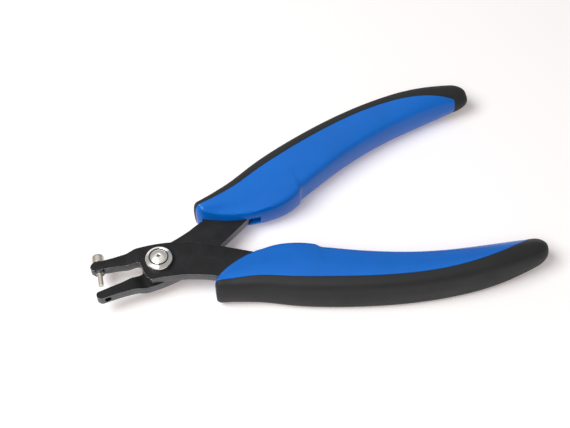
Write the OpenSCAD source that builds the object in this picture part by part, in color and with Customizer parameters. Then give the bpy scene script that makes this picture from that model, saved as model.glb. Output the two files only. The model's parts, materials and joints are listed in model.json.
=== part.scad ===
// Hole-punch pliers with two-colour handles, lying flat on their side.
// +X runs from the jaws to the handle tails, +Z is up, and both handles rest on z = 0.
// The origin is below the middle of the whole tool.
// Each lever is drawn with the jaws closed, its pivot at x = 0, y = 0, and is then turned open.

/* [Pose] */
// Angle between the levers as drawn, 0 is fully closed
open_angle = 15; // [4:0.5:15]

/* [Lever plates] */
// Thickness of the steel plate
plate_t = 3.2; // [2.9:0.1:3.8]
// Height of the plane where the plates lap above the middle of the handles
lap_rise = 0.7; // [0:0.1:0.8]
// Distance from the pivot to the punch jaw's tip
jaw_reach = 23.3; // [22.5:0.1:26]
// Gap between the jaws when closed
jaw_gap = 2.9; // [2.8:0.1:3.6]
// Depth of each jaw at its tip
jaw_tip_w = 3.3; // [3:0.1:3.6]
// How much longer the die jaw is
die_longer = 0.6; // [0:0.1:0.8]
// Depth of each jaw beside the pivot eye
jaw_root_w = 5; // [4.6:0.1:5.6]
// Half width of the lever round the pivot
eye_r = 6.9; // [6.4:0.1:7.4]
// Distance from the pivot to the throat between the jaws
throat_x = 6.2; // [5.8:0.1:6.4]
// Where the offset bend of the jaw starts, from the pivot
bend_x = 6.8; // [6.7:0.1:7.4]
// Length of the offset bend
bend_run = 4.6; // [2.4:0.1:5.4]
// Gap between the two plates where they lap
lap_gap = 0.06; // [0.04:0.02:0.2]
// Width of the tang inside the handle
tang_w = 6; // [4.5:0.5:7]
// Distance from the pivot to the end of the tang
tang_reach = 74; // [66:1:84]
// Wall of the handle core between the tang and the soft grip
tang_wall = 1.8; // [1.2:0.1:2.4]
// Clearance round the tang
tang_fit = 0.1; // [0.05:0.01:0.2]

/* [Punch and die] */
// Distance from the jaw tip back to the punch axis
punch_inset = 2.8; // [2.4:0.1:3.6]
// Diameter of the punch pin
pin_d = 1.8; // [1.2:0.1:2]
// Length of the pin below the jaw
pin_len = 5.6; // [4.8:0.1:5.8]
// Diameter of the pin's collar
collar_d = 3.5; // [3:0.1:3.8]
// Thickness of the pin's collar
collar_h = 0.9; // [0.6:0.1:1.2]
// Diameter of the threaded hole through the punch jaw
thread_d = 2.2; // [1.8:0.1:2.4]
// Length of the pin's spigot in that hole
spigot_len = 1.2; // [0.8:0.1:1.4]
// Diameter of the screw head
head_d = 4; // [3.6:0.1:4.6]
// Height of the screw head
head_h = 3.4; // [2.4:0.1:3.6]
// Width across the flats of the hexagon socket
socket_af = 2; // [1.5:0.1:2.4]
// Depth of the hexagon socket
socket_h = 1.2; // [0.8:0.1:1.5]
// Clearance round the pin in the die hole
die_clear = 0.25; // [0.24:0.01:0.4]

/* [Pivot] */
// Outer diameter of the sleeve that the levers turn on
sleeve_d = 6; // [5.4:0.1:6.6]
// Running clearance of the sleeve in the punch lever, on the radius
sleeve_fit = 0.05; // [0.03:0.01:0.08]
// Diameter of the bevelled flange
flange_d = 9.4; // [8.8:0.1:10.4]
// Height of the bevelled flange
flange_h = 2.4; // [1.6:0.1:2.6]
// Diameter of the rivet shank
rivet_d = 4; // [3.4:0.1:4.4]
// Diameter of the rivet's domed head
rivet_head_d = 6.3; // [5.6:0.1:6.6]
// Height of the dome above the flange
dome_h = 0.9; // [0.6:0.1:1.2]
// Ring gap between the dome and the flange
dome_gap = 0.2; // [0.1:0.05:0.3]
// Thickness of the washer under the levers
washer_h = 1; // [0.8:0.1:1.2]
// Height of the closed rivet end under the washer
rivet_tail_h = 0.8; // [0.5:0.1:1]

/* [Handles] */
// Thickness of the handle where it is thickest
handle_t = 14.8; // [13.6:0.2:16]
// Thickness of the handle at its nose
nose_t = 11.6; // [10.4:0.2:12.8]
// Distance from the pivot to the nose of the handle
handle_front = 17; // [16.5:0.5:18]
// Length of the handle
handle_len = 114.5; // [106:0.5:124]
// Distance of the nose corner from the lever's middle line
nose_y = 13.2; // [12.8:0.2:13.8]
// Depth of the waist in the handle's back, behind its nose
waist = 0.9; // [0:0.1:1.4]
// Width of the soft grip beyond the parting line
grip_w = 4.6; // [3.6:0.1:5.4]
// Distance from the pivot to the finger guard's step
guard_x = 53.5; // [50:0.5:58]
// Height of the finger guard's step
guard_step = 1.5; // [0.8:0.1:2]
// How much thinner the handle is along its inner edge, on each face
inner_drop = 2.2; // [1:0.1:2.8]
// How far each face swells over the inner and outer walls
wall_swell = 0.5; // [0.3:0.1:0.9]
// Depth of the flat on which the handle rests
rest_cut = 0.4; // [0.2:0.1:0.6]
// How much further out the upper handle sits on its lever
upper_slide = 2.8; // [0:0.1:4]

/* [Hidden] */
$fn = 64;

// Height of the middle plane of the handles, and of the plane where the plates lap
mid_z = handle_t / 2;
lap_z = mid_z + lap_rise;
// Room that cutting blocks take beyond the stock
beyond = 20;
// Half of the gap between the closed jaws
jaw_y = jaw_gap / 2;
// Face that the screw head sits on
seat_y = jaw_y + jaw_tip_w;
// Distance from the pivot to the punch axis
punch_reach = jaw_reach - punch_inset;
// End of the handle
handle_end = handle_front + handle_len;
// Direction in which the upper handle sits further out, along its own line
slide_turn = 18.5;
slide = [upper_slide * cos(slide_turn), -upper_slide * sin(slide_turn)];
// Bottom of the flange, on the punch lever
flange_z = lap_z + plate_t + lap_gap;
// Bottom of the washer
washer_z = lap_z - plate_t - washer_h;
// Depth of the recess in the flange that takes the rivet's head
recess_h = 0.7;
// Shift of the die hole that centres the pin's arc in it
die_shift = 0.17;
// Rounding length at the handle's nose and tail
nose_round = 1.6;
tail_round = 4.4;
// Share of the width and of the thickness that is left at the ends of the handle
nose_width = 0.75;
nose_height = 0.64;
tail_width = 0.5;
tail_height = 0.56;
// Length over which the nose and the tail of the handle thin out, and how much the tail thins
nose_taper = 45;
tail_taper = 28;
tail_thin = 3.4;
// How far the handle's lines sweep out from the nose: parting line, grip, finger side
parting_lead = 3;
parting_sweep = 21.4;
parting_end = 3.7;
grip_lead = 7.6;
grip_sweep = 17.6;
grip_end = 5.2;
finger_lead = 1.8;
finger_sweep = 5.3;
finger_end = 3;
// Share of the grip's width at the nose
nose_share = 0.5;
// Middle of the waist behind the nose, and how far it spreads
waist_x = 15;
waist_run = 9;
// Lines of the finger guard: rise of the nose, length of the nose, rise at the step
nose_lip = 0.6;
nose_first = 4;
nose_start = 6.5;
nose_rise = 16;
nose_reach = 20;
guard_rise = 8.7;
// Where the tang bends to run along the handle, behind the nose
tang_bend = 18;
tang_line = 26;
tang_heel = 14;

// Point and slope of a cubic curve with four control points
function bezier(p, t) = p[0] * pow(1 - t, 3) + p[1] * 3 * t * pow(1 - t, 2)
    + p[2] * 3 * t * t * (1 - t) + p[3] * pow(t, 3);
// Parameter at which the curve reaches x, by halving
function bezier_t(p, x, lo = 0, hi = 1, n = 22) = let (mid = (lo + hi) / 2) n == 0 ? mid
    : bezier(p, mid).x < x ? bezier_t(p, x, mid, hi, n - 1) : bezier_t(p, x, lo, mid, n - 1);
// Height of the curve at x, carried on straight past its end
function curve_y(p, x) = x > p[3].x
    ? p[3].y + (x - p[3].x) * (p[3].y - p[2].y) / (p[3].x - p[2].x)
    : bezier(p, bezier_t(p, x)).y;
function mix(a, b, s) = a + (b - a) * s;
function clamp01(s) = max(0, min(1, s));
// Quarter-round from 0 to 1 over a length r
function round_off(d, r) = let (c = clamp01(d / r)) sqrt(1 - (1 - c) * (1 - c));
// Smooth curve through points, with n steps between two of them
function through(p, n = 5) = concat([for (i = [0:len(p) - 2], k = [0:n - 1])
    let (a = p[max(i - 1, 0)], b = p[i], c = p[i + 1], d = p[min(i + 2, len(p) - 1)], t = k / n)
    (b * 2 + (c - a) * t + (a * 2 - b * 5 + c * 4 - d) * t * t
        + (b * 3 - a - c * 3 + d) * t * t * t) / 2], [p[len(p) - 1]]);
function turn(p, a) = [p.x * cos(a) - p.y * sin(a), p.x * sin(a) + p.y * cos(a)];

// Handle outline, for the handle on the lever's -Y side
parting_curve = [[handle_front, -nose_y], [handle_front + handle_len * 0.28, -nose_y - parting_lead],
    [handle_front + handle_len * 0.646, -nose_y - parting_sweep],
    [handle_front + handle_len * 0.943, -nose_y - parting_end]];
guard_curve = [[handle_front, -nose_y + nose_lip], [handle_front + nose_first, -nose_y + nose_start],
    [handle_front + nose_reach, -nose_y + nose_rise], [guard_x, -nose_y + guard_rise]];
finger_curve = [[guard_x + guard_step, -nose_y + guard_rise - guard_step],
    [handle_front + handle_len * 0.48, -nose_y + finger_lead],
    [handle_front + handle_len * 0.646, -nose_y - finger_sweep],
    [handle_front + handle_len * 0.96, -nose_y - finger_end]];
outer_curve = [[handle_front, -nose_y - grip_w * nose_share],
    [handle_front + handle_len * 0.35, -nose_y - grip_w - grip_lead],
    [handle_front + handle_len * 0.646, -nose_y - grip_w - grip_sweep],
    [handle_end, -nose_y - grip_w - grip_end]];
function waist_y(x) = waist * exp(-pow((x - handle_front - waist_x) / waist_run, 2));
function parting_y(x) = curve_y(parting_curve, x) + waist_y(x);
function inner_y(x) = x <= guard_x ? curve_y(guard_curve, x)
    : x < guard_x + guard_step ? mix(guard_curve[3].y, finger_curve[0].y, (x - guard_x) / guard_step)
    : curve_y(finger_curve, x);
function outer_y(x) = curve_y(outer_curve, x) + waist_y(x);
// Half thickness along the parting line
function half_t(x) = let (nose = 1 - clamp01((x - handle_front) / nose_taper),
        tail = clamp01((x - handle_end + tail_taper) / tail_taper))
    handle_t / 2 + rest_cut - (handle_t - nose_t) / 2 * nose * nose - tail_thin * tail * tail;

// Cross-section of the handle at x, as a closed loop of points
function section(x) = let (
        end = round_off(handle_end - x, tail_round),
        tip = round_off(x - handle_front, nose_round),
        wide = mix(tail_width, 1, end),
        yi0 = inner_y(x), yo0 = outer_y(x), ym = (yi0 + yo0) / 2,
        yi = mix(ym, yi0, wide), yo = mix(ym, yo0, wide * mix(nose_width, 1, tip)),
        yr = yo + min(grip_w, (yi - yo) / 2), w = yi - yr, g = yr - yo,
        h = half_t(x) * mix(tail_height, 1, end) * mix(nose_height, 1, tip),
        hi = h - inner_drop * clamp01((x - handle_front) / 35 + 0.45) * wide,
        swell = wall_swell * wide,
        top = [[yi, 0.8 * hi], [yi - 0.12 * w, 0.97 * hi], [yi - 0.3 * w, mix(hi, h, 0.25)],
            [mix(yi, yr, 0.65), mix(hi, h, 0.78)], [yr, h], [yr - 0.4 * g, h - 0.3 * wide],
            [yr - 0.74 * g, h - wide], [yr - 0.93 * g, h - 2.4 * wide], [yo - 0.1 * swell, 0.36 * h]],
        loop = concat([[yi + swell, 0], [yi + 0.7 * swell, 0.45 * hi]], top, [[yo - 0.4 * swell, 0]],
            [for (i = [len(top) - 1:-1:0]) [top[i].x, -top[i].y]],
            [[yi + 0.7 * swell, -0.45 * hi]]))
    [for (q = loop) [x, q.x, mid_z + q.y]];

// Stations along the handle: close together round the nose, the guard and the tail
nose_run = 18;
stations = concat([for (i = [0:8]) handle_front + nose_run * (1 - cos(i * 11.25))],
    [for (i = [1:3]) mix(handle_front + nose_run, guard_x, i / 3)],
    [for (i = [0:9]) mix(guard_x + guard_step, handle_end - 14, i / 9)],
    [for (i = [1:5]) handle_end - 14 * (1 - sin(i * 18))]);
rings = [for (x = stations) section(x)];

// Where the tang's edges run inside the handle
function tang_low(x) = parting_y(x) + tang_wall;
mouth_x = handle_front + 8;
// Far end of the slot beside the shank
mouth_end = handle_front + 20;
// Outer side of the slot, at the nose
mouth_low = -nose_y + 2.5;
line_x = handle_front + tang_line;
heel_x = handle_front + tang_heel;
far_x = mix(line_x, tang_reach, 0.5);
near_x = mix(heel_x, tang_reach, 0.5);
tang_top = [[handle_front + tang_bend, -4.2], [line_x, tang_low(line_x) + tang_w + 1.5],
    [far_x, tang_low(far_x) + tang_w], [tang_reach - 2, tang_low(tang_reach - 2) + tang_w - 1],
    [tang_reach, tang_low(tang_reach) + tang_w / 2]];
tang_bottom = [[tang_reach - 2, tang_low(tang_reach - 2) + 0.6], [near_x, tang_low(near_x)],
    [heel_x, tang_low(heel_x)]];

// Outline of a lever, jaws closed: jaw tip, back edge and tang, near edge, throat
// reach is the distance to the tip of the jaw
function tip_edge(reach) = [[-reach + 1.2, jaw_y], [-reach + 0.35, jaw_y + 0.4], [-reach, jaw_y + 1.3],
    [-reach + 0.05, seat_y - 1.5], [-reach + 0.5, seat_y - 0.7]];
function back_edge(reach) = through(concat([[-reach + 1.4, seat_y - 0.1],
    [-(jaw_reach + bend_x) / 2 - 1, jaw_y + mix(jaw_tip_w, jaw_root_w, 0.24)],
    [-bend_x - 0.8, jaw_y + jaw_root_w], [0, eye_r], [eye_r + 1, eye_r - 0.7], [16, 4.1],
    [mouth_x, 0.2]], tang_top));
near_edge = through(concat(tang_bottom, [[handle_front + 3, -10.5], [14, -8.7], [7, -eye_r - 0.4],
    [0, -eye_r], [-throat_x + 2.8, -eye_r - 0.1]]));
throat_edge = [[-throat_x + 1.7, -eye_r + 0.6], [-throat_x + 1, -eye_r + 1.8], [-throat_x, -0.8],
    [-throat_x - 0.3, jaw_y - 1.25], [-throat_x - 0.9, jaw_y - 0.85], [-throat_x - 3.4, jaw_y - 0.4],
    [-throat_x - 8, jaw_y]];
function lever_outline(reach) = concat(tip_edge(reach), back_edge(reach), near_edge, throat_edge);

// Middle of the whole tool, at the pose drawn
low_ring = [for (r = rings, p = r) turn([p.x, p.y], -open_angle / 2)];
high_ring = [for (r = rings, p = r) turn([p.x + slide.x, -p.y - slide.y], open_angle / 2)];
tip_x = min([for (p = lever_outline(jaw_reach + die_longer)) turn(p, -open_angle / 2).x]);
center_x = (max([for (p = concat(low_ring, high_ring)) p.x]) + tip_x) / 2;
center_y = (max([for (p = high_ring) p.y]) + min([for (p = low_ring) p.y])) / 2;
echo(pivot = [-center_x, -center_y, lap_z]);

// Steel blank with its jaw bent to the middle plane and the pivot hole drilled
module lever_blank(hole_r, reach) {
    difference() {
        intersection() {
            translate([0, 0, -plate_t]) linear_extrude(plate_t * 3) polygon(lever_outline(reach));
            rotate([90, 0, 0]) translate([0, 0, -beyond * 3]) linear_extrude(beyond * 6)
                polygon([[-reach - 1, -plate_t / 2], [-bend_x - bend_run, -plate_t / 2],
                    [-bend_x, lap_gap / 2], [handle_end, lap_gap / 2], [handle_end, plate_t],
                    [-bend_x, plate_t], [-bend_x - bend_run, plate_t / 2], [-reach - 1, plate_t / 2]]);
        }
        translate([0, 0, -plate_t]) cylinder(r = hole_r, h = plate_t * 3);
    }
}

// Round stock along Y, from y0 to y1, through the jaw at a distance from the pivot
module across_jaw(reach, d, y0, y1) {
    translate([-reach, y0, 0]) rotate([-90, 0, 0]) cylinder(d = d, h = y1 - y0);
}

// Puts a piece drawn about the middle plane on the punch lever, at the pose drawn
module on_punch_lever() {
    translate([-center_x, -center_y, 0]) rotate([0, 0, -open_angle / 2]) children();
}

// Puts a piece drawn for the punch lever's side on the die lever, at the pose drawn
module on_die_lever() {
    translate([-center_x, -center_y, 0]) rotate([0, 0, open_angle / 2]) children();
}

module punch_lever() {
    color([0.16, 0.16, 0.17]) on_punch_lever() translate([0, 0, lap_z]) difference() {
        lever_blank(sleeve_d / 2 + sleeve_fit, jaw_reach);
        across_jaw(punch_reach, thread_d, 0, seat_y + beyond);
        across_jaw(punch_reach, head_d + 0.4, seat_y, seat_y + beyond);
    }
}

module die_lever() {
    color([0.16, 0.16, 0.17]) on_die_lever() translate([0, 0, lap_z]) difference() {
        rotate([180, 0, 0]) lever_blank(sleeve_d / 2, jaw_reach + die_longer);
        across_jaw(punch_reach + die_shift, pin_d + 2 * die_clear, -beyond, 0);
    }
}

module punch_pin() {
    color([0.8, 0.78, 0.74]) on_punch_lever() translate([-punch_reach, jaw_y, lap_z])
        rotate([-90, 0, 0]) rotate_extrude() polygon([[0, -pin_len], [pin_d / 2 - 0.08, -pin_len],
            [pin_d / 2, -pin_len + 0.12], [pin_d / 2, -collar_h], [collar_d / 2 - 0.1, -collar_h],
            [collar_d / 2, -collar_h + 0.1], [collar_d / 2, 0], [thread_d / 2, 0],
            [thread_d / 2, spigot_len], [0, spigot_len]]);
}

module punch_screw() {
    color([0.8, 0.78, 0.74]) on_punch_lever() translate([-punch_reach, seat_y, lap_z])
        rotate([-90, 0, 0]) difference() {
            rotate_extrude() polygon(concat([[0, spigot_len + 0.1 - jaw_tip_w],
                [thread_d / 2, spigot_len + 0.1 - jaw_tip_w], [thread_d / 2, 0], [head_d / 2, 0]],
                [for (i = [0:6]) [head_d / 2 - 0.8 + 0.8 * cos(i * 15), head_h - 0.8 + 0.8 * sin(i * 15)]],
                [[0, head_h]]));
            translate([0, 0, head_h - socket_h])
                cylinder(d = socket_af / cos(30), h = socket_h + 1, $fn = 6);
        }
}

module pivot_bush() {
    color([0.78, 0.77, 0.74]) translate([-center_x, -center_y, 0]) rotate_extrude() polygon([
        [rivet_d / 2, washer_z], [sleeve_d / 2, washer_z], [sleeve_d / 2, flange_z], [flange_d / 2, flange_z],
        [flange_d / 2, flange_z + flange_h * 0.45], [rivet_head_d / 2 + dome_gap + 0.35, flange_z + flange_h],
        [rivet_head_d / 2 + dome_gap, flange_z + flange_h],
        [rivet_head_d / 2 + dome_gap, flange_z + flange_h - recess_h],
        [rivet_d / 2, flange_z + flange_h - recess_h]]);
}

module pivot_rivet() {
    seat_z = flange_z + flange_h - recess_h;
    top_z = flange_z + flange_h + dome_h;
    rim_z = flange_z + flange_h - 0.1;
    tail_z = washer_z - rivet_tail_h;
    color([0.82, 0.8, 0.77]) translate([-center_x, -center_y, 0]) rotate_extrude() polygon(concat(
        [[0, tail_z]],
        [for (i = [0:6]) [rivet_head_d / 2 * sin(i * 15), washer_z - rivet_tail_h * cos(i * 15)]],
        [[rivet_d / 2, washer_z], [rivet_d / 2, seat_z], [rivet_head_d / 2, seat_z]],
        [for (i = [0:5]) [rivet_head_d / 2 * cos(i * 15), rim_z + (top_z - rim_z) * sin(i * 15)]],
        [[0.5, top_z - 0.02], [0, top_z - 0.3]]));
}

module pivot_washer() {
    color([0.72, 0.72, 0.7]) translate([-center_x, -center_y, washer_z]) difference() {
        cylinder(d = flange_d, h = washer_h);
        translate([0, 0, -1]) cylinder(d = sleeve_d, h = washer_h + 2);
    }
}

// Whole handle: a skin over the cross-sections, cut flat where it rests
module handle_blank() {
    n = len(rings[0]);
    last = len(rings) - 1;
    intersection() {
        polyhedron(points = [for (r = rings, p = r) p], faces = concat(
            [[for (k = [0:n - 1]) k]], [[for (k = [n - 1:-1:0]) last * n + k]],
            [for (i = [0:last - 1], k = [0:n - 1]) [i * n + k, (i + 1) * n + k, i * n + (k + 1) % n]],
            [for (i = [0:last - 1], k = [0:n - 1])
                [i * n + (k + 1) % n, (i + 1) * n + k, (i + 1) * n + (k + 1) % n]]));
        translate([0, -handle_len, 0]) cube([handle_end + beyond, 2 * handle_len, handle_t + beyond]);
    }
}

// Everything on the outer side of the parting line, and the tail
module outer_side() {
    meet_x = parting_curve[3].x;
    steps = 18;
    translate([0, 0, -beyond]) linear_extrude(handle_t + 2 * beyond) polygon(concat(
        [[handle_front - beyond, -nose_y]],
        [for (i = [0:steps]) let (x = mix(handle_front, meet_x, i / steps)) [x, parting_y(x)]],
        [[meet_x + 1.5, beyond], [handle_end + beyond, beyond], [handle_end + beyond, -handle_len],
            [handle_front - beyond, -handle_len]]));
}

// Pocket for the tang; side is 1 for the upper plate, -1 for the lower
module tang_pocket(side, at) {
    low = side > 0 ? lap_gap / 2 : -plate_t;
    room = tang_fit * 1.4;
    translate([0, 0, lap_z + low - tang_fit]) linear_extrude(plate_t - lap_gap / 2 + 2 * tang_fit) union() {
        polygon(concat(
            [for (p = back_edge(jaw_reach)) if (p.x >= mouth_x) p + [p.x > tang_reach - 3 ? room : 0, room]],
            [for (p = near_edge) if (p.x > mouth_x) p - [p.x > tang_reach - 3 ? -room : 0, room]]));
        translate(at) polygon([[handle_front - beyond, mouth_low], [handle_front - beyond, beyond],
            [mouth_end, beyond], [mouth_end, tang_low(mouth_end) + 2],
            [heel_x, tang_low(heel_x) + 0.5], [mouth_x, mouth_low - 1.4], [handle_front + 1.5, mouth_low]]);
    }
}

// Hard core of a handle, moved out along its lever, with the pocket for the tang
module handle_core(side, at) {
    color([0.12, 0.39, 0.82]) difference() {
        translate(at) handle_blank();
        translate(at) outer_side();
        tang_pocket(side, at);
    }
}

// Soft back of a handle, moved out along its lever
module handle_grip(at) {
    color([0.13, 0.13, 0.13]) translate(at) intersection() {
        handle_blank();
        outer_side();
    }
}

module lower_handle_core() {
    on_punch_lever() handle_core(1, [0, 0]);
}

module lower_handle_grip() {
    on_punch_lever() handle_grip([0, 0]);
}

module upper_handle_core() {
    on_die_lever() mirror([0, 1, 0]) handle_core(-1, slide);
}

module upper_handle_grip() {
    on_die_lever() mirror([0, 1, 0]) handle_grip(slide);
}

die_lever();
pivot_bush();
pivot_rivet();
pivot_washer();
punch_lever();
punch_pin();
punch_screw();
lower_handle_core();
lower_handle_grip();
upper_handle_core();
upper_handle_grip();
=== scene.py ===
"""Dressed model of hole-punch pliers with two-colour handles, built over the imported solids."""

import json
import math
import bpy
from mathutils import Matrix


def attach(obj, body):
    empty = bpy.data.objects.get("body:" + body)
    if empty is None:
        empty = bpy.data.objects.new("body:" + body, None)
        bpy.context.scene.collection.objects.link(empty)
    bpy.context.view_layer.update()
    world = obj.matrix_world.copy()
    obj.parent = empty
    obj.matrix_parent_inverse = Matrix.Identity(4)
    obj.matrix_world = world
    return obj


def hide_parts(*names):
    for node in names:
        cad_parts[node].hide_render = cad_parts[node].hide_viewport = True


bl_info = {
    "name": "Hole Punch Pliers",
    "version": (1, 0, 0),
    "blender": (4, 5, 0),
    "location": "3D View > Sidebar > Pliers",
    "description": "Builds hole-punch pliers with black levers, a bright pivot and two-colour handles",
    "category": "Add Mesh",
}

import bmesh
import bpy
from bpy.props import FloatProperty, FloatVectorProperty, IntProperty, PointerProperty
from mathutils import Matrix, Vector

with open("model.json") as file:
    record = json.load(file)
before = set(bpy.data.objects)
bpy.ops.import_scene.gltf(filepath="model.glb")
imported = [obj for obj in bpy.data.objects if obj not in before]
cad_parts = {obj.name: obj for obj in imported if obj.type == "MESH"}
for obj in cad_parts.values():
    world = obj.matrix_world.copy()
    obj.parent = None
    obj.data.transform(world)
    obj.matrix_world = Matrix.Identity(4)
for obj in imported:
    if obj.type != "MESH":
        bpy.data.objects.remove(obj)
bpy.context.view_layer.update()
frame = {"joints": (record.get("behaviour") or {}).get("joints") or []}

# The hinge of the solids, read before anything is dressed
HINGE = frame["joints"][0]
PIVOT = Vector(HINGE["pos_m"])
HALF_OPEN = math.radians(HINGE["range_deg"][1]) / 2
# Shapes are worked out in millimetres and made in metres
MM = 0.001
# Gap that keeps pressed pieces apart, in millimetres
PRESS = 0.01
# Points on each part of a handle's half section, and sides of the pin and its screw, of the holes
# across the jaws and of the pivot's bore
HALF_POINTS = 26
PUNCH_SIDES = 72
DRILL_SIDES = 64
BORE_SIDES = 90
# Lengths in millimetres over which a handle's ends round off, and over which it thickens behind the
# nose and thins towards the tail, and by how much it thins there
NOSE_ROUND, TAIL_ROUND = 1.6, 4.4
NOSE_RUN, TAIL_RUN = 45, 28
TAIL_THINNER = 3.4
# Where the tang's back edge enters the handle, where its near edge meets the wall and where its back
# edge starts to follow it, in millimetres behind the nose
MOUTH, HEEL, WALL_START = 8, 14, 26
# Angle at which the upper handle is slid out along its own line
SLIDE_ANGLE = math.radians(18.5)


def number(name, description, default, **kind):
    """A number that a user may change, plain or of a kind such as an angle or a power."""
    return FloatProperty(name=name, description=description, default=default, **kind)


def length(name, description, default):
    """A length that a user may change, in metres."""
    return number(name, description, default, unit="LENGTH", precision=5)


def colour(name, description, default):
    """A colour that a user may change."""
    return FloatVectorProperty(name=name, description=description, default=default, subtype="COLOR",
                               size=3, min=0.0, max=1.0)


class LeverSizes(bpy.types.PropertyGroup):
    """Sizes of the two steel levers."""

    plate: length("Plate", "Thickness of the steel plate", 0.0032)
    lap_gap: length("Lap gap", "Gap between the plates where they lap", 0.00006)
    lap_rise: length("Lap rise", "Height of the lap above the middle of the handles", 0.0007)
    jaw_reach: length("Jaw reach", "Distance from the pivot to the punch jaw's tip", 0.0233)
    jaw_gap: length("Jaw gap", "Gap between the closed jaws", 0.0029)
    jaw_tip: length("Jaw tip", "Depth of a jaw at its tip", 0.0033)
    die_longer: length("Die longer", "How much longer the die jaw is", 0.0006)
    jaw_root: length("Jaw root", "Depth of a jaw beside the pivot eye", 0.005)
    eye: length("Eye", "Half width of a lever round the pivot", 0.0069)
    throat: length("Throat", "Distance from the pivot to the throat", 0.0062)
    bend: length("Bend", "Where the offset of the jaw starts", 0.0068)
    bend_run: length("Bend run", "Length of the offset of the jaw", 0.0046)
    tang_width: length("Tang width", "Width of the tang in the handle", 0.006)
    tang_reach: length("Tang reach", "Distance from the pivot to the end of the tang", 0.074)
    tang_wall: length("Tang wall", "Wall between the tang and the soft grip", 0.0018)
    tang_fit: length("Tang fit", "Clearance round the tang", 0.0001)
    edge: length("Worn edge", "Width of the rounded, worn edges", 0.0004)


class PunchSizes(bpy.types.PropertyGroup):
    """Sizes of the punch pin, its screw and the die hole."""

    inset: length("Inset", "Distance from the jaw tip back to the punch axis", 0.0028)
    pin: length("Pin", "Diameter of the punch pin", 0.0018)
    pin_length: length("Pin length", "Length of the pin below the jaw", 0.0056)
    collar: length("Collar", "Diameter of the pin's collar", 0.0035)
    collar_height: length("Collar height", "Thickness of the pin's collar", 0.0009)
    thread: length("Thread", "Diameter of the threaded hole", 0.0022)
    spigot: length("Spigot", "Length of the pin's spigot in the hole", 0.0012)
    head: length("Head", "Diameter of the screw head", 0.0043)
    head_height: length("Head height", "Height of the screw head", 0.0034)
    socket: length("Socket", "Width across the flats of the socket", 0.0015)
    socket_depth: length("Socket depth", "Depth of the socket", 0.0012)
    die_clear: length("Die clearance", "Clearance round the pin in the die hole", 0.00025)
    die_shift: length("Die shift", "Shift of the die hole along the pin's arc", 0.00017)


class PivotSizes(bpy.types.PropertyGroup):
    """Sizes of the bush, rivet and washer that hold the levers together."""

    sleeve: length("Sleeve", "Diameter of the sleeve", 0.006)
    sleeve_fit: length("Sleeve fit", "Running clearance of the sleeve, on the radius", 0.00005)
    flange: length("Flange", "Diameter of the bevelled flange", 0.0094)
    flange_height: length("Flange height", "Height of the bevelled flange", 0.0024)
    rivet: length("Rivet", "Diameter of the rivet shank", 0.004)
    rivet_head: length("Rivet head", "Diameter of the rivet head", 0.0063)
    head_rise: length("Head rise", "Height of the rivet head above the flange", 0.0009)
    recess: length("Recess", "Depth of the recess that takes the rivet head", 0.0007)
    ring_gap: length("Ring gap", "Gap between the rivet head and the flange", 0.0002)
    head_slack: length("Head slack", "How much the dome is drawn in from the rivet head", 0.00022)
    washer_height: length("Washer height", "Thickness of the washer", 0.001)
    tail_height: length("Tail height", "Height of the closed rivet end", 0.0008)
    steps: IntProperty(name="Steps", description="Sides of the turned pieces", default=128, min=24, max=256)


class HandleSizes(bpy.types.PropertyGroup):
    """Sizes of the two handles."""

    thickness: length("Thickness", "Thickness of the handle where it is thickest", 0.0148)
    nose_thickness: length("Nose thickness", "Thickness of the handle at its nose", 0.0116)
    front: length("Front", "Distance from the pivot to the nose", 0.017)
    reach: length("Length", "Length of the handle", 0.1145)
    nose_offset: length("Nose offset", "Distance of the nose corner from the lever's middle line", 0.0132)
    waist: length("Waist", "Depth of the waist in the handle's back", 0.0009)
    grip: length("Grip width", "Width of the soft grip beyond the parting line", 0.0046)
    guard: length("Guard", "Distance from the pivot to the finger guard's step", 0.0535)
    guard_step: length("Guard step", "Height of the finger guard's step", 0.0015)
    inner_drop: length("Inner drop", "How much thinner the inner edge is, on each face", 0.0022)
    swell: length("Swell", "How far the walls swell out", 0.0005)
    rest_cut: length("Rest cut", "Depth of the flat on which the handle rests", 0.0004)
    slide: length("Slide", "How much further out the upper handle sits", 0.0028)
    tuck: length("Tuck", "How far the rim of the upper handle's nose is tucked in", 0.0008)
    seam: length("Seam", "Rounding of the two edges along the parting line", 0.00028)


class FinishColours(bpy.types.PropertyGroup):
    """Colours of the finishes."""

    plate: colour("Black plate", "Blackened steel of the levers", (0.01, 0.0101, 0.011))
    plate_light: colour("Worn plate", "Blackened steel where it is rubbed", (0.018, 0.0182, 0.0195))
    side: colour("Plate side", "Satin sides of the levers", (0.115, 0.116, 0.121))
    edge: colour("Worn edge", "Bare steel along the edges of the levers", (0.72, 0.72, 0.73))
    bright: colour("Bright steel", "Turned steel of the pivot", (0.82, 0.795, 0.75))
    punch: colour("Punch steel", "Steel of the punch pin and its screw", (0.6, 0.565, 0.5))
    plastic: colour("Plastic", "Hard core of the handles", (0.0, 0.151, 0.625))
    rubber: colour("Rubber", "Soft back of the handles", (0.0172, 0.0172, 0.0182))
    floor: colour("Floor", "Pale floor", (0.95, 0.95, 0.95))


class StageSettings(bpy.types.PropertyGroup):
    """Camera and light."""

    height: number("Camera height", "Elevation of the camera", math.radians(54), subtype="ANGLE")
    turn: number("Camera turn", "Turn of the camera about the vertical", math.radians(-109.07),
                 subtype="ANGLE")
    distance: length("Camera distance", "Distance from the camera to its aim", 0.385)
    aim: FloatVectorProperty(name="Aim", description="Point that the camera looks at",
                             default=(-0.007925, 0.00131, 0.015), subtype="XYZ", unit="LENGTH")
    lens: number("Lens", "Focal length in millimetres", 70.54)
    key: number("Key light", "Power of the large soft light", 8.3, unit="POWER")
    fill: number("Fill light", "Power of the weaker light from the front", 1.3, unit="POWER")
    sky: number("Sky", "Strength of the light from all round", 0.2)
    horizon: number("Horizon", "Strength of the backdrop that low mirror rays see", 0.5)


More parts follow.
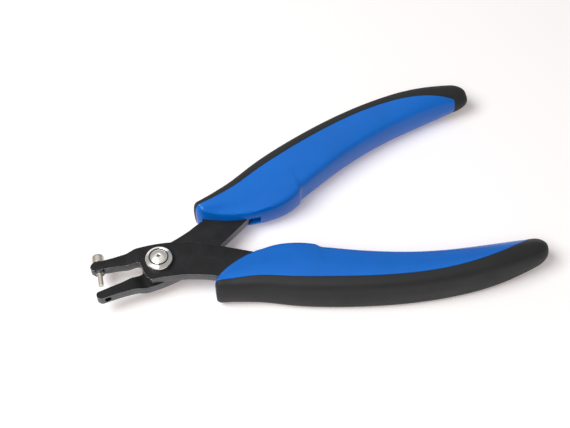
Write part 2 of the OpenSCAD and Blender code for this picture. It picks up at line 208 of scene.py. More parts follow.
def mix(a, b, share):
    """The value between a and b."""
    return a + (b - a) * share


def clamp(share):
    """A share held between 0 and 1."""
    return max(0.0, min(1.0, share))


def ease(share):
    """A share that starts and ends gently."""
    share = clamp(share)
    return share * share * (3 - 2 * share)


def round_off(distance, radius):
    """Quarter-round from 0 to 1 over a radius."""
    share = clamp(distance / radius)
    return math.sqrt(1 - (1 - share) ** 2)


def bezier(points, t):
    """Point of a cubic curve with four control points."""
    weights = ((1 - t) ** 3, 3 * t * (1 - t) ** 2, 3 * t * t * (1 - t), t ** 3)
    return Vector((sum(w * p[0] for w, p in zip(weights, points)),
                   sum(w * p[1] for w, p in zip(weights, points))))


def curve_y(points, x):
    """Height of a cubic curve at x, carried on straight past its end."""
    near, far = points[2], points[3]
    if x > far[0]:
        return far[1] + (x - far[0]) * (far[1] - near[1]) / (far[0] - near[0])
    low, high = 0.0, 1.0
    for _ in range(30):
        middle = (low + high) / 2
        if bezier(points, middle).x < x:
            low = middle
        else:
            high = middle
    return bezier(points, (low + high) / 2).y


def through(points, steps, before=None, after=None):
    """Smooth line through points, with a number of steps between two of them."""
    points = [Vector(p) for p in points]
    before = Vector(before) if before else points[0]
    after = Vector(after) if after else points[-1]
    padded = [before] + points + [after]
    line = []
    for i in range(1, len(padded) - 2):
        a, b, c, d = padded[i - 1:i + 3]
        for k in range(steps):
            t = k / steps
            line.append((b * 2 + (c - a) * t + (a * 2 - b * 5 + c * 4 - d) * t * t
                         + (b * 3 - a - c * 3 + d) * t ** 3) / 2)
    return line + [points[-1]]


def rounded(profile, radius, steps=4):
    """A profile with each corner rounded, as far as its sides allow."""
    points = [Vector(p) for p in profile]
    line = [points[0]]
    for a, b, c in zip(points, points[1:], points[2:]):
        room = min(radius, (a - b).length * 0.45, (c - b).length * 0.45)
        start = b + (a - b).normalized() * room
        end = b + (c - b).normalized() * room
        for k in range(steps + 1):
            t = k / steps
            line.append(start * (1 - t) ** 2 + b * 2 * t * (1 - t) + end * t * t)
    return line + [points[-1]]


def mesh_of(name, points, faces):
    """A mesh from points in millimetres, with its faces turned outwards."""
    shell = bmesh.new()
    corners = [shell.verts.new(Vector(p) * MM) for p in points]
    for face in faces:
        shell.faces.new([corners[i] for i in face])
    bmesh.ops.remove_doubles(shell, verts=shell.verts, dist=1e-7)
    bmesh.ops.recalc_face_normals(shell, faces=shell.faces)
    mesh = bpy.data.meshes.new(name)
    shell.to_mesh(mesh)
    shell.free()
    return mesh


def prism(name, outline, low, high):
    """A closed block with an outline, between two heights."""
    count = len(outline)
    points = [(p[0], p[1], low) for p in outline] + [(p[0], p[1], high) for p in outline]
    faces = [list(range(count))[::-1], list(range(count, 2 * count))]
    faces += [[i, (i + 1) % count, count + (i + 1) % count, count + i] for i in range(count)]
    return mesh_of(name, points, faces)


def circle(radius, sides, middle=(0, 0)):
    """Points of a circle round a middle."""
    turns = [2 * math.pi * i / sides for i in range(sides)]
    return [(middle[0] + radius * math.cos(turn), middle[1] + radius * math.sin(turn)) for turn in turns]


def rod(name, middle, radius, low, high):
    """A closed round rod along Y through a point, for drilling across a jaw."""
    mesh = prism(name, circle(radius, DRILL_SIDES, middle), -high, -low)
    mesh.transform(Matrix.Rotation(math.pi / 2, 4, "X"))
    return mesh


def put(name, data):
    """A new object in the scene, with its data."""
    item = bpy.data.objects.new(name, data)
    bpy.context.scene.collection.objects.link(item)
    return item


def evaluated(stock):
    """The mesh of an object with its modifiers applied; the object itself is removed."""
    graph = bpy.context.evaluated_depsgraph_get()
    mesh = bpy.data.meshes.new_from_object(stock.evaluated_get(graph), depsgraph=graph)
    bpy.data.objects.remove(stock)
    return mesh


def cut(mesh, cutters):
    """A mesh with closed cutters taken out of it."""
    stock = put("stock", mesh)
    tools = [put("cutter", cutter) for cutter in cutters]
    for tool in tools:
        modifier = stock.modifiers.new("Cut", "BOOLEAN")
        modifier.operation = "DIFFERENCE"
        modifier.solver = "EXACT"
        modifier.object = tool
    result = evaluated(stock)
    for tool in tools:
        bpy.data.objects.remove(tool)
    if not result.polygons:
        raise RuntimeError("nothing was left of a piece after cutting it")
    return result


def bevel(mesh, width, angle, second_material=-1):
    """A mesh with its sharp edges rounded."""
    stock = put("stock", mesh)
    modifier = stock.modifiers.new("Edges", "BEVEL")
    modifier.width = width
    modifier.segments = 3
    modifier.limit_method = "ANGLE"
    modifier.angle_limit = math.radians(angle)
    modifier.use_clamp_overlap = True
    modifier.material = second_material
    return evaluated(stock)


def paint_shade(mesh, material, chosen):
    """Paints shade on the chosen faces of a turned mesh by giving them a second, darker material, chosen by
    distance from the axis and by face.
    """
    mesh.materials.append(material)
    for face in mesh.polygons:
        if chosen(math.hypot(face.center.x, face.center.y) / MM, face):
            face.material_index = 1


def on_lever(side):
    """The place of a piece drawn about the closed punch lever's pivot, turned over for the die lever."""
    if side == "punch_side":
        return Matrix.Translation(PIVOT) @ Matrix.Rotation(-HALF_OPEN, 4, "Z")
    turned_over = Matrix.Rotation(HALF_OPEN, 4, "Z") @ Matrix.Rotation(math.pi, 4, "X")
    return Matrix.Translation(PIVOT) @ turned_over


def dress(name, mesh, body, materials, sharp=35):
    """Makes a finished piece that rides on a body and stands for the solid of the same name."""
    mesh.name = name + "_dressed"
    for material in materials:
        if material.name not in mesh.materials:
            mesh.materials.append(material)
    mesh.shade_smooth()
    mesh.set_sharp_from_angle(angle=math.radians(sharp))
    piece = put(name + "_dressed", mesh)
    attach(piece, body)
    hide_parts(name)


def add_node(tree, kind, values=None, **settings):
    """A node with its settings and the values of its inputs."""
    node = tree.nodes.new(kind)
    for key, value in settings.items():
        setattr(node, key, value)
    for key, value in (values or {}).items():
        node.inputs[key].default_value = value
    return node


def link(tree, *pairs):
    """Joins pairs of sockets, each from an output to an input."""
    for source, target in pairs:
        tree.links.new(source, target)


def worked(tree, operation, *inputs, clamped=False):
    """Output of a maths node whose inputs are other outputs or plain numbers."""
    node = add_node(tree, "ShaderNodeMath", operation=operation, use_clamp=clamped)
    for socket, value in zip(node.inputs, inputs):
        if isinstance(value, bpy.types.NodeSocket):
            tree.links.new(value, socket)
        else:
            socket.default_value = value
    return node.outputs[0]


def new_group(name, values, outputs):
    """A shader node group on a vector and named values, with what it takes in and what it puts out."""
    group = bpy.data.node_groups.new(name, "ShaderNodeTree")
    group.interface.new_socket(name="Vector", in_out="INPUT", socket_type="NodeSocketVector")
    for label, value in values.items():
        socket = group.interface.new_socket(name=label, in_out="INPUT", socket_type="NodeSocketFloat")
        socket.default_value = value
    for label in outputs:
        group.interface.new_socket(name=label, in_out="OUTPUT", socket_type="NodeSocketFloat")
    return group, add_node(group, "NodeGroupInput").outputs, add_node(group, "NodeGroupOutput").inputs


def fine_grain():
    """Node group: the fine pitted grain of a moulded or blasted surface."""
    if "Fine Grain" in bpy.data.node_groups:
        return bpy.data.node_groups["Fine Grain"]
    group, start, end = new_group("Fine Grain", {"Scale": 2500.0}, ["Height"])
    noise = add_node(group, "ShaderNodeTexNoise", {"Detail": 3.0, "Roughness": 0.6})
    cells = add_node(group, "ShaderNodeTexVoronoi", feature="F1")
    for texture in (noise, cells):
        link(group, (start["Vector"], texture.inputs["Vector"]), (start["Scale"], texture.inputs["Scale"]))
    height = worked(group, "MULTIPLY_ADD", cells.outputs["Distance"], 0.6, noise.outputs["Fac"])
    link(group, (height, end["Height"]))
    return group


def handling_wear():
    """Node group: soft patches where hands have polished a surface, as a mask and as a roughness."""
    if "Handling Wear" in bpy.data.node_groups:
        return bpy.data.node_groups["Handling Wear"]
    group, start, end = new_group("Handling Wear", {"Scale": 60.0, "Smooth": 0.3, "Rough": 0.5},
                                  ["Roughness", "Mask"])
    noise = add_node(group, "ShaderNodeTexNoise", {"Detail": 5.0, "Roughness": 0.62})
    mask = add_node(group, "ShaderNodeMapRange", {"From Min": 0.32, "From Max": 0.68})
    spread = add_node(group, "ShaderNodeMapRange")
    link(group, (start["Vector"], noise.inputs["Vector"]),
         (start["Scale"], noise.inputs["Scale"]),
         (noise.outputs["Fac"], mask.inputs["Value"]),
         (mask.outputs["Result"], spread.inputs["Value"]),
         (start["Smooth"], spread.inputs["To Min"]),
         (start["Rough"], spread.inputs["To Max"]),
         (spread.outputs["Result"], end["Roughness"]),
         (mask.outputs["Result"], end["Mask"]))
    return group


def turned_rings():
    """Node group: the rings that a lathe tool leaves round the Z axis."""
    if "Turned Rings" in bpy.data.node_groups:
        return bpy.data.node_groups["Turned Rings"]
    group, start, end = new_group("Turned Rings", {"Pitch": 0.00025}, ["Height", "Streaks"])
    apart = add_node(group, "ShaderNodeSeparateXYZ")
    flat = add_node(group, "ShaderNodeCombineXYZ")
    radius = add_node(group, "ShaderNodeVectorMath", operation="LENGTH")
    link(group, (start["Vector"], apart.inputs["Vector"]),
         (apart.outputs["X"], flat.inputs["X"]),
         (apart.outputs["Y"], flat.inputs["Y"]),
         (flat.outputs["Vector"], radius.inputs[0]))
    rise = worked(group, "ADD", radius.outputs["Value"], apart.outputs["Z"])
    turns = worked(group, "DIVIDE", rise, start["Pitch"])
    for label, scale, detail in (("Height", 1.0, 2.0), ("Streaks", 0.35, 3.0)):
        noise = add_node(group, "ShaderNodeTexNoise", {"Scale": scale, "Detail": detail},
                         noise_dimensions="1D")
        link(group, (turns, noise.inputs["W"]), (noise.outputs["Fac"], end[label]))
    return group


def new_material(name):
    """An empty node material: its tree, its shader and its object coordinates through a mapping."""
    material = bpy.data.materials.new(name)
    material.use_nodes = True
    tree = material.node_tree
    tree.nodes.clear()
    output = add_node(tree, "ShaderNodeOutputMaterial")
    shader = add_node(tree, "ShaderNodeBsdfPrincipled")
    place = add_node(tree, "ShaderNodeTexCoord")
    mapping = add_node(tree, "ShaderNodeMapping")
    link(tree, (place.outputs["Object"], mapping.inputs["Vector"]),
         (shader.outputs["BSDF"], output.inputs["Surface"]))
    return material, tree, shader, mapping


def use_group(tree, group, mapping, **values):
    """A node group placed in a material, on the material's coordinates."""
    node = add_node(tree, "ShaderNodeGroup", values, node_tree=group)
    link(tree, (mapping.outputs["Vector"], node.inputs["Vector"]))
    return node


def blend_colours(tree, mask, first, second, shader):
    """Mixes two colours by a mask into the shader's base colour."""
    blend = add_node(tree, "ShaderNodeMix", data_type="RGBA")
    blend.inputs[6].default_value = (*first, 1.0)
    blend.inputs[7].default_value = (*second, 1.0)
    link(tree, (mask, blend.inputs[0]), (blend.outputs[2], shader.inputs["Base Color"]))


def bump(tree, height, strength, distance, shader):
    """Feeds a height to the shader's normal."""
    node = add_node(tree, "ShaderNodeBump", {"Strength": strength, "Distance": distance})
    link(tree, (height, node.inputs["Height"]), (node.outputs["Normal"], shader.inputs["Normal"]))


def seen_rays(tree):
    """Output that is 1 for what the camera, a mirror or glass shows, and 0 for light on a piece."""
    rays = add_node(tree, "ShaderNodeLightPath").outputs
    mirrored = worked(tree, "ADD", rays["Is Glossy Ray"], rays["Is Transmission Ray"], clamped=True)
    return worked(tree, "ADD", rays["Is Camera Ray"], mirrored, clamped=True)


def shade(value, share):
    """A colour made lighter or darker."""
    return tuple(min(1.0, c * share) for c in value)


def worn_finish(name, dark, light, wear, grain, constants):
    """A finish with worn patches between two colours and a fine grain.

    The wear is a scale and the two ends of the roughness, the grain a scale, a strength and a depth.
    """
    material, tree, shader, mapping = new_material(name)
    scale, smooth, rough = wear
    patches = use_group(tree, handling_wear(), mapping, Scale=scale, Smooth=smooth, Rough=rough)
    scale, strength, depth = grain
    pits = use_group(tree, fine_grain(), mapping, Scale=scale)
    blend_colours(tree, patches.outputs["Mask"], dark, light, shader)
    link(tree, (patches.outputs["Roughness"], shader.inputs["Roughness"]))
    bump(tree, pits.outputs["Height"], strength, depth, shader)
    for label, value in constants.items():
        shader.inputs[label].default_value = value
    return material


def black_plate(colours):
    """Blackened steel plate with a faint blasted grain."""
    return worn_finish("black_plate", colours.plate, colours.plate_light, (220.0, 0.34, 0.46),
                       (3800.0, 0.12, 0.00006), {"Specular IOR Level": 0.16})


def satin_side(colours):
    """The ground and blackened sides of the plates, lighter and more even than the faces; the pivot and the
    pin's collar also take it as painted shade.
    """
    return worn_finish("satin_side", shade(colours.side, 0.75), shade(colours.side, 1.1),
                       (300.0, 0.3, 0.44), (3200.0, 0.14, 0.00006), {"Metallic": 0.9})


def worn_edge(colours):
    """Steel rubbed bare along the edges of the plates."""
    return worn_finish("worn_edge", shade(colours.edge, 0.55), colours.edge, (420.0, 0.2, 0.36),
                       (3800.0, 0.1, 0.00006), {"Metallic": 0.9})


def satin_plastic(colours):
    """Hard moulded plastic with a satin skin."""
    return worn_finish("satin_plastic", shade(colours.plastic, 0.94), shade(colours.plastic, 1.05),
                       (70.0, 0.33, 0.43), (3000.0, 0.08, 0.00006),
                       {"Specular IOR Level": 0.06, "Coat Weight": 0.5, "Coat Roughness": 0.12})


def soft_rubber(colours):
    """Matt soft rubber with a fine moulded grain."""
    return worn_finish("soft_rubber", shade(colours.rubber, 0.85), shade(colours.rubber, 1.2),
                       (90.0, 0.52, 0.68), (2600.0, 0.2, 0.00008), {"Specular IOR Level": 0.28})


def turned_steel(name, tint, centre, turn, smooth, rough):
    """Turned steel with lathe rings round its own axis."""
    material, tree, shader, mapping = new_material(name)
    mapping.inputs["Rotation"].default_value = turn
    mapping.inputs["Location"].default_value = centre
    rings = use_group(tree, turned_rings(), mapping, Pitch=0.00022)
    wear = use_group(tree, handling_wear(), mapping, Scale=500.0, Smooth=smooth, Rough=rough)
    blend_colours(tree, rings.outputs["Streaks"], shade(tint, 0.82), shade(tint, 1.1), shader)
    link(tree, (wear.outputs["Roughness"], shader.inputs["Roughness"]))
    bump(tree, rings.outputs["Height"], 0.04, 0.00004, shader)
    shader.inputs["Metallic"].default_value = 1.0
    return material


def handle_lines(size):
    """The handle's lines in millimetres, on its closed lever, with the handle on the -Y side."""
    front = size.front / MM
    reach = size.reach / MM
    nose = -size.nose_offset / MM
    grip = size.grip / MM
    guard = size.guard / MM
    step = size.guard_step / MM
    return {
        "front": front, "end": front + reach, "guard": guard, "step": step, "grip": grip,
        "thick": size.thickness / MM, "nose_thick": size.nose_thickness / MM,
        "drop": size.inner_drop / MM, "swell": size.swell / MM, "rest": size.rest_cut / MM,
        "waist": size.waist / MM, "tuck": 0.0,
        "parting": [(front, nose), (front + reach * 0.28, nose - 3),
                    (front + reach * 0.646, nose - 21.4), (front + reach * 0.943, nose - 3.7)],
        "nose_side": [(front, nose + 0.6), (front + 4, nose + 6.5), (front + 20, nose + 16),
                      (guard, nose + 8.7)],
        "finger_side": [(guard + step, nose + 8.7 - step), (front + reach * 0.48, nose + 1.8),
                        (front + reach * 0.646, nose - 5.3), (front + reach * 0.96, nose - 3)],
        "back": [(front, nose - grip * 0.5), (front + reach * 0.35, nose - grip - 7.6),
                 (front + reach * 0.646, nose - grip - 17.6), (front + reach, nose - grip - 5.2)],
    }


def on_seam(lines, x):
    """Whether the handle has its two parts at x, before the seam's end."""
    return x <= lines["parting"][3][0] + 1e-6


def waist_at(lines, x):
    """How far the back of the handle is drawn in at x, most of all behind the nose."""
    return lines["waist"] * math.exp(-((x - lines["front"] - 15) / 9) ** 2)


def parting_line(lines, x):
    """The line between the hard core and the soft back at x."""
    return curve_y(lines["parting"], x) + waist_at(lines, x)


def inner_line(lines, x):
    """The handle's inner edge at x, with a soft step at the finger guard."""
    start = lines["guard"] - 0.5
    run = lines["step"] + 1
    if x <= start:
        return curve_y(lines["nose_side"], x)
    if x >= start + run:
        return curve_y(lines["finger_side"], x)
    before = curve_y(lines["nose_side"], x)
    after = curve_y(lines["finger_side"], max(x, lines["finger_side"][0][0]))
    return mix(before, after, ease((x - start) / run))


def half_section(lines, x):
    """Upper half of the handle's cross-section at x, from its inner wall to its outer wall."""
    behind = x - lines["front"]
    end = round_off(lines["end"] - x, TAIL_ROUND)
    tip = round_off(behind, NOSE_ROUND)
    wide = mix(0.5, 1, end)
    tuck = lines["tuck"] * ease(behind / 7) * (1 - ease((behind - 10) / 24))
    inner, outer = inner_line(lines, x) - tuck, curve_y(lines["back"], x) + waist_at(lines, x)
    middle = (inner + outer) / 2
    inner = mix(middle, inner, wide)
    outer = mix(middle, outer, wide * mix(0.75, 1, tip))
    ridge = outer + min(lines["grip"], (inner - outer) / 2)
    w, g = inner - ridge, ridge - outer
    nose = 1 - clamp(behind / NOSE_RUN)
    tail = clamp((x - lines["end"] + TAIL_RUN) / TAIL_RUN)
    high = lines["thick"] / 2 + lines["rest"] - (lines["thick"] - lines["nose_thick"]) / 2 * nose ** 2
    high = (high - TAIL_THINNER * tail ** 2) * mix(0.56, 1, end) * mix(0.64, 1, tip)
    low = high - lines["drop"] * clamp(behind / 35 + 0.45) * wide - 1.35 * tuck
    swell = lines["swell"] * wide
    # The rim is crisp round the nose and softens behind it
    crisp = 1 - ease((behind - 20) / 14)
    inner += 0.35 * (1 - crisp) * wide
    points = [(inner + swell, 0), (inner + 0.7 * swell, mix(0.42, 0.45, crisp) * low),
              (inner + mix(0, 0.1 * swell, crisp), mix(0.72, 0.8, crisp) * low),
              (inner - mix(0.055, 0.03, crisp) * w, mix(0.88, 0.93, crisp) * low),
              (inner - mix(0.14, 0.1, crisp) * w, mix(0.97, 0.99, crisp) * low),
              (inner - 0.3 * w, mix(low, high, 0.25)),
              (mix(inner, ridge, 0.65), mix(low, high, 0.78)), (ridge, high),
              (ridge - 0.4 * g, high - 0.3 * wide), (ridge - 0.74 * g, high - wide),
              (ridge - 0.93 * g, high - 2.4 * wide), (outer - 0.1 * swell, 0.36 * high),
              (outer - 0.4 * swell, 0)]
    return through(points, 8, (points[1][0], -points[1][1]), (points[-2][0], -points[-2][1]))


def split_section(half, cut_y):
    """A half section cut at the parting line: its inner and its outer part, both from the cut on."""
    for i in range(len(half) - 1, 0, -1):
        a, b = half[i], half[i - 1]
        if a.x <= cut_y <= b.x:
            cut_point = a.lerp(b, (cut_y - a.x) / max(b.x - a.x, 1e-9))
            return [cut_point] + half[i - 1::-1], [cut_point] + half[i:]
    raise RuntimeError("the parting line leaves the handle")


def spaced(points, count, seam):
    """A line with a number of points: five close together at its start, sunk into a rounded seam."""
    walks = [0.0]
    for a, b in zip(points, points[1:]):
        walks.append(walks[-1] + (b - a).length)
    total = walks[-1]
    seam = min(seam, total * 0.25)
    stops = [seam * share for share in (0, 0.12, 0.35, 0.65, 1)]
    stops += [mix(seam, total, (k + 1) / (count - 5)) for k in range(count - 5)]
    line, i = [], 0
    for stop in stops:
        while i < len(walks) - 2 and walks[i + 1] < stop:
            i += 1
        share = clamp((stop - walks[i]) / max(walks[i + 1] - walks[i], 1e-9))
        point = points[i].lerp(points[i + 1], share)
        if stop < seam:
            point = point - Vector((0, seam * (1 - math.sqrt(1 - (1 - stop / seam) ** 2))))
        line.append(point)
    return line


def handle_stations(lines):
    """Places along the handle up to its tail, close together round the nose and at the guard."""
    front, end, guard, step = lines["front"], lines["end"], lines["guard"], lines["step"]
    seam_end = lines["parting"][3][0]
    places = [front + 18 * (1 - math.cos(math.radians(i * 3))) for i in range(31)]
    places += [mix(front + 18, guard - 0.6, i / 16) for i in range(1, 17)]
    places += [mix(guard - 0.6, guard + step + 0.6, i / 12) for i in range(1, 13)]
    places += [mix(guard + step + 0.6, seam_end, i / 56) for i in range(1, 57)]
    places += [end - (end - seam_end) * (1 - math.sin(math.radians(i * 5))) for i in range(1, 19)]
    return places


def handle_rings(lines, seam):
    """The two parts of each cross-section of the handle, each from the seam to the middle of its wall."""
    rings = []
    share = 0.0
    for x in handle_stations(lines):
        half = half_section(lines, x)
        outside, inside = half[-1].x, half[0].x
        if on_seam(lines, x):
            sunk = seam
            inner, outer = split_section(half, parting_line(lines, x))
            share = (inner[0].x - outside) / (inside - outside)
        else:
            sunk = 1e-6
            inner, outer = split_section(half, mix(outside, inside, share))
        rings.append((x, spaced(inner, HALF_POINTS, sunk), spaced(outer, HALF_POINTS, sunk)))
    return rings


def full_loop(x, line):
    """A half line from the seam to the middle of the wall, and back along the underside."""
    above = [(x, p.x, p.y) for p in line]
    return above + [(x, p.x, -p.y) for p in line[-2::-1]]


def skin(loops, first=0):
    """Faces between closed loops of points that are numbered on from first."""
    count = len(loops[0])
    faces = []
    for i in range(len(loops) - 1):
        for k in range(count):
            a, b = first + i * count + k, first + i * count + (k + 1) % count
            faces.append([a, b, b + count, a + count])
    return faces


def core_mesh(lines, seam):
    """The hard core of a handle: the inner side of the seam, up to the seam's end."""
    loops = [full_loop(x, inner) for x, inner, outer in handle_rings(lines, seam) if on_seam(lines, x)]
    count = len(loops[0])
    ends = [list(range(count)), list(range((len(loops) - 1) * count, len(loops) * count))]
    return mesh_of("core", [p for loop in loops for p in loop], skin(loops) + ends)


def grip_mesh(lines, seam):
    """The soft back of a handle: the outer side of the seam, and the whole tail beyond the seam's end."""
    rings = handle_rings(lines, seam)
    along = [ring for ring in rings if on_seam(lines, ring[0])]
    beyond = along[-1:] + [ring for ring in rings if not on_seam(lines, ring[0])]
    loops = [full_loop(x, outer) for x, inner, outer in along]
    whole = [full_loop(x, outer) + full_loop(x, inner)[-2:0:-1] for x, inner, outer in beyond]
    count, size, first = len(loops[0]), len(whole[0]), len(loops) * len(loops[0])
    last = first + (len(whole) - 1) * size
    # The nose's end, the tail's end and the step where the tail takes over the whole section
    faces = skin(loops) + [list(range(count))]
    faces += skin(whole, first) + [list(range(last, last + size))]
    faces.append([first] + list(range(first + count, first + size))[::-1] + [first + count - 1])
    return mesh_of("grip", [p for loop in loops + whole for p in loop], faces)


def lever_edges(size, lines, steps, longer=0.0):
    """The back edge and the near edge of a lever with its tang, and its whole outline, in millimetres."""
    front, end_x = lines["front"], size.tang_reach / MM
    reach, eye, throat = size.jaw_reach / MM, size.eye / MM, size.throat / MM
    jaw = size.jaw_gap / MM / 2
    seat = jaw + size.jaw_tip / MM
    root = jaw + size.jaw_root / MM
    bend, width, wall = size.bend / MM, size.tang_width / MM, size.tang_wall / MM

    def low(x):
        return parting_line(lines, x) + wall

    mouth, line_x, heel = front + MOUTH, front + WALL_START, front + HEEL
    far, near = (line_x + end_x) / 2, (heel + end_x) / 2
    end = -reach - longer
    back = through([(end + 1.4, seat - 0.1), (-(reach + bend) / 2 - 1, mix(seat, root, 0.24)),
                    (-bend - 0.8, root), (0, eye), (eye + 1, eye - 0.7), (16, 4.1), (mouth, 0.2),
                    (front + 18, -4.2), (line_x, low(line_x) + width + 1.5), (far, low(far) + width),
                    (end_x - 2, low(end_x - 2) + width - 1), (end_x, low(end_x) + width / 2)], steps)
    fore = through([(end_x - 2, low(end_x - 2) + 0.6), (near, low(near)), (heel, low(heel)),
                    (front + 3, -10.5), (14, -8.7), (7, -eye - 0.4), (0, -eye),
                    (-throat + 2.8, -eye - 0.1)], steps)
    tip = through([(end + 1.2, jaw), (end + 0.35, jaw + 0.4), (end, jaw + 1.3), (end + 0.05, seat - 1.5),
                   (end + 0.5, seat - 0.7), (end + 1.4, seat - 0.1)], 4,
                  (end + 3, jaw), (end + 3, seat))[:-1]
    notch = through([(-throat + 2.8, -eye - 0.1), (-throat + 1.7, -eye + 0.6), (-throat + 1, -eye + 1.8),
                     (-throat, -0.8), (-throat - 0.3, jaw - 1.25), (-throat - 0.9, jaw - 0.85),
                     (-throat - 3.4, jaw - 0.4), (-throat - 8, jaw)], 4)[1:]
    return back, fore, tip + back + fore + notch


def lever_mesh(size, lines, longer):
    """A steel blank with its jaw bent over to the middle plane, lying on the upper side of the lap."""
    plate, gap = size.plate / MM, size.lap_gap / MM / 2
    bend, run = size.bend / MM, size.bend_run / MM
    mesh = prism("blank", lever_edges(size, lines, 8, longer)[2], 0, 1)
    blank = bmesh.new()
    blank.from_mesh(mesh)
    for i in range(13):
        spot = Vector((-(bend + run * i / 12) * MM, 0, 0))
        everything = blank.verts[:] + blank.edges[:] + blank.faces[:]
        bmesh.ops.bisect_plane(blank, geom=everything, plane_co=spot, plane_no=(1, 0, 0), dist=1e-7)
    for corner in blank.verts:
        share = ease((-corner.co.x / MM - bend) / run)
        low, high = mix(gap, -plate / 2, share), mix(plate, plate / 2, share)
        corner.co.z = (low if corner.co.z < 0.5 * MM else high) * MM
    blank.to_mesh(mesh)
    blank.free()
    return mesh


def tang_cutters(size, lines, slide, rise):
    """Two closed blocks that make the pocket for the tang and the slot in the handle's nose."""
    low = rise + size.lap_gap / MM / 2 - size.tang_fit / MM
    high = rise + size.plate / MM + size.tang_fit / MM
    room = size.tang_fit / MM * 1.4
    front, end_x, nose = lines["front"], size.tang_reach / MM, lines["parting"][0][1]
    back, fore, _ = lever_edges(size, lines, 8)
    start, heel, stop = front + MOUTH, front + HEEL, front + 20
    outline = [(p.x + (room if p.x > end_x - 3 else 0), p.y + room) for p in back if p.x >= start]
    outline += [(p.x + (room if p.x > end_x - 3 else 0), p.y - room) for p in fore if p.x > start]
    wall = size.tang_wall / MM
    mouth = [(front - 20, nose + 2.5), (front - 20, 20), (stop, 20),
             (stop, parting_line(lines, stop) + wall + 2),
             (heel, parting_line(lines, heel) + wall + 0.5), (start, nose + 1.1),
             (front + 1.5, nose + 2.5)]
    mouth = [(p[0] + slide.x, p[1] + slide.y) for p in mouth]
    return [prism("pocket", outline, low, high), prism("slot", mouth, low, high)]


def turned_tree():
    """Geometry node tree that turns a profile in the XZ plane round the Z axis into a closed skin."""
    if "Turned Piece" in bpy.data.node_groups:
        return bpy.data.node_groups["Turned Piece"]
    tree = bpy.data.node_groups.new("Turned Piece", "GeometryNodeTree")
    tree.interface.new_socket(name="Profile", in_out="INPUT", socket_type="NodeSocketGeometry")
    steps = tree.interface.new_socket(name="Steps", in_out="INPUT", socket_type="NodeSocketInt")
    steps.default_value = 128
    tree.interface.new_socket(name="Finish", in_out="INPUT", socket_type="NodeSocketMaterial")
    tree.interface.new_socket(name="Piece", in_out="OUTPUT", socket_type="NodeSocketGeometry")
    start = add_node(tree, "NodeGroupInput").outputs
    end = add_node(tree, "NodeGroupOutput").inputs
    count = add_node(tree, "GeometryNodeAttributeDomainSize", component="MESH")
    grid = add_node(tree, "GeometryNodeMeshGrid")
    index = add_node(tree, "GeometryNodeInputIndex").outputs[0]
    where = add_node(tree, "GeometryNodeInputPosition").outputs[0]
    sample = add_node(tree, "GeometryNodeSampleIndex", data_type="FLOAT_VECTOR", domain="POINT")
    apart = add_node(tree, "ShaderNodeSeparateXYZ")
    point = add_node(tree, "ShaderNodeCombineXYZ")
    move = add_node(tree, "GeometryNodeSetPosition")
    merge = add_node(tree, "GeometryNodeMergeByDistance", {"Distance": 1e-7})
    realize = add_node(tree, "GeometryNodeRealizeInstances")
    finish = add_node(tree, "GeometryNodeSetMaterial")
    points, radius = count.outputs["Point Count"], apart.outputs["X"]
    # Each row of the grid is the profile, turned by its share of the full circle
    row = worked(tree, "FLOOR", worked(tree, "DIVIDE", index, points))
    angle = worked(tree, "MULTIPLY", worked(tree, "DIVIDE", row, start["Steps"]), 2 * math.pi)
    link(tree, (start["Profile"], count.inputs[0]),
         (worked(tree, "ADD", start["Steps"], 1), grid.inputs["Vertices X"]),
         (points, grid.inputs["Vertices Y"]),
         (start["Profile"], sample.inputs["Geometry"]),
         (where, sample.inputs["Value"]),
         (worked(tree, "MODULO", index, points), sample.inputs["Index"]),
         (sample.outputs["Value"], apart.inputs[0]),
         (worked(tree, "MULTIPLY", radius, worked(tree, "COSINE", angle)), point.inputs["X"]),
         (worked(tree, "MULTIPLY", radius, worked(tree, "SINE", angle)), point.inputs["Y"]),
         (apart.outputs["Z"], point.inputs["Z"]),
         (grid.outputs["Mesh"], move.inputs["Geometry"]),
         (point.outputs["Vector"], move.inputs["Position"]),
         (move.outputs["Geometry"], merge.inputs["Geometry"]),
         (merge.outputs["Geometry"], realize.inputs["Geometry"]),
         (realize.outputs["Geometry"], finish.inputs["Geometry"]),
         (start["Finish"], finish.inputs["Material"]),
         (finish.outputs["Geometry"], end["Piece"]))
    return tree


def turned(profile, steps, material):
    """A closed mesh turned from a profile of radius and height in millimetres."""
    line = bpy.data.meshes.new("profile")
    line.from_pydata([(p[0] * MM, 0, p[1] * MM) for p in profile],
                     [(i, i + 1) for i in range(len(profile) - 1)], [])
    stock = put("profile", line)
    tree = turned_tree()
    modifier = stock.modifiers.new("Turned", "NODES")
    modifier.node_group = tree
    sockets = {s.name: s.identifier for s in tree.interface.items_tree if s.in_out == "INPUT"}
    modifier[sockets["Steps"]] = steps
    modifier[sockets["Finish"]] = material
    mesh = evaluated(stock)
    mesh.materials.clear()
    mesh.materials.append(material)
    shell = bmesh.new()
    shell.from_mesh(mesh)
    for face in shell.faces:
        face.material_index = 0
    bmesh.ops.remove_doubles(shell, verts=shell.verts, dist=1e-7)
    bmesh.ops.dissolve_degenerate(shell, edges=shell.edges, dist=1e-8)
    bmesh.ops.recalc_face_normals(shell, faces=shell.faces)
    shell.to_mesh(mesh)
    shell.free()
    if len(mesh.polygons) < steps:
        raise RuntimeError("a turned piece came out empty")
    return mesh


